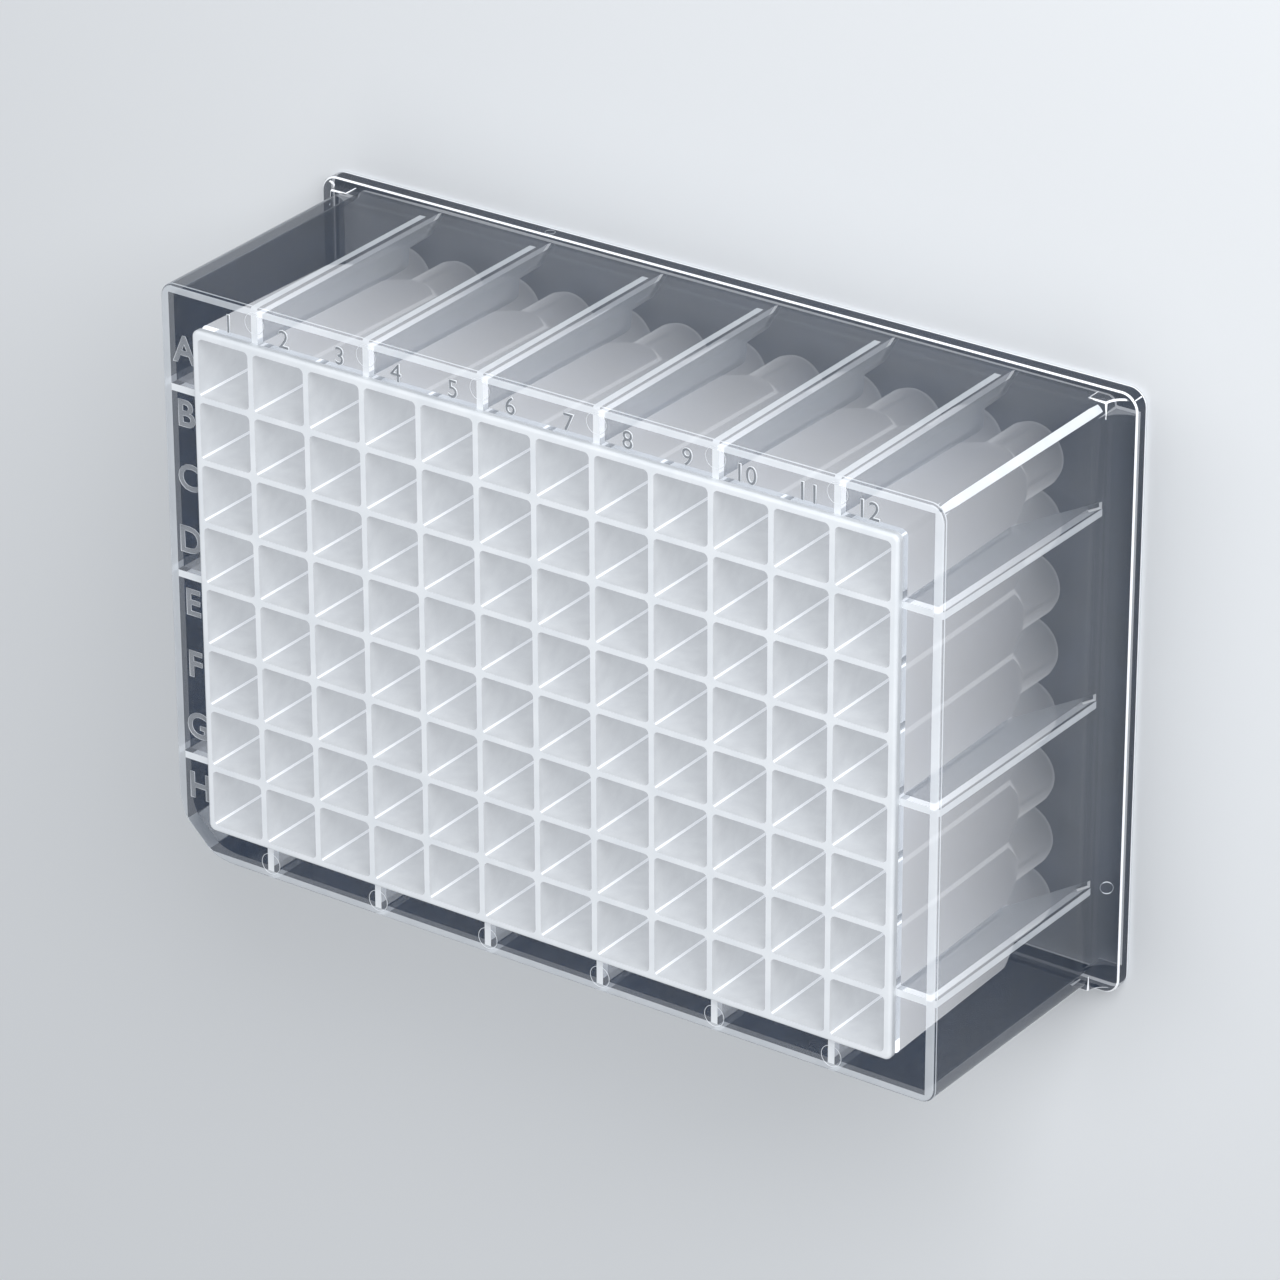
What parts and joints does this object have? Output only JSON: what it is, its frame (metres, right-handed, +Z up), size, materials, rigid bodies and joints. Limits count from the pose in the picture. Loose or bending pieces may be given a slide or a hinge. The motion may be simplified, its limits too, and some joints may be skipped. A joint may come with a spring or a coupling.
{
  "type": "deep-well plate",
  "caption": "Deep-well sample plate in milky polypropylene: a grid of open square wells with round undersides, on a skirted base with the standard footprint and a cut corner.",
  "frame": {"origin": "centre of the base, under the middle of the grid of wells", "axes": "+Z up out of the wells, +X along a row towards the last column, +Y towards row A"},
  "size_m": [0.1278, 0.0854, 0.0424],
  "materials": {
    "natural_polypropylene": "satin"
  },
  "bodies": {
    "root": {"plate": "natural_polypropylene"}
  },
  "joints": []
}
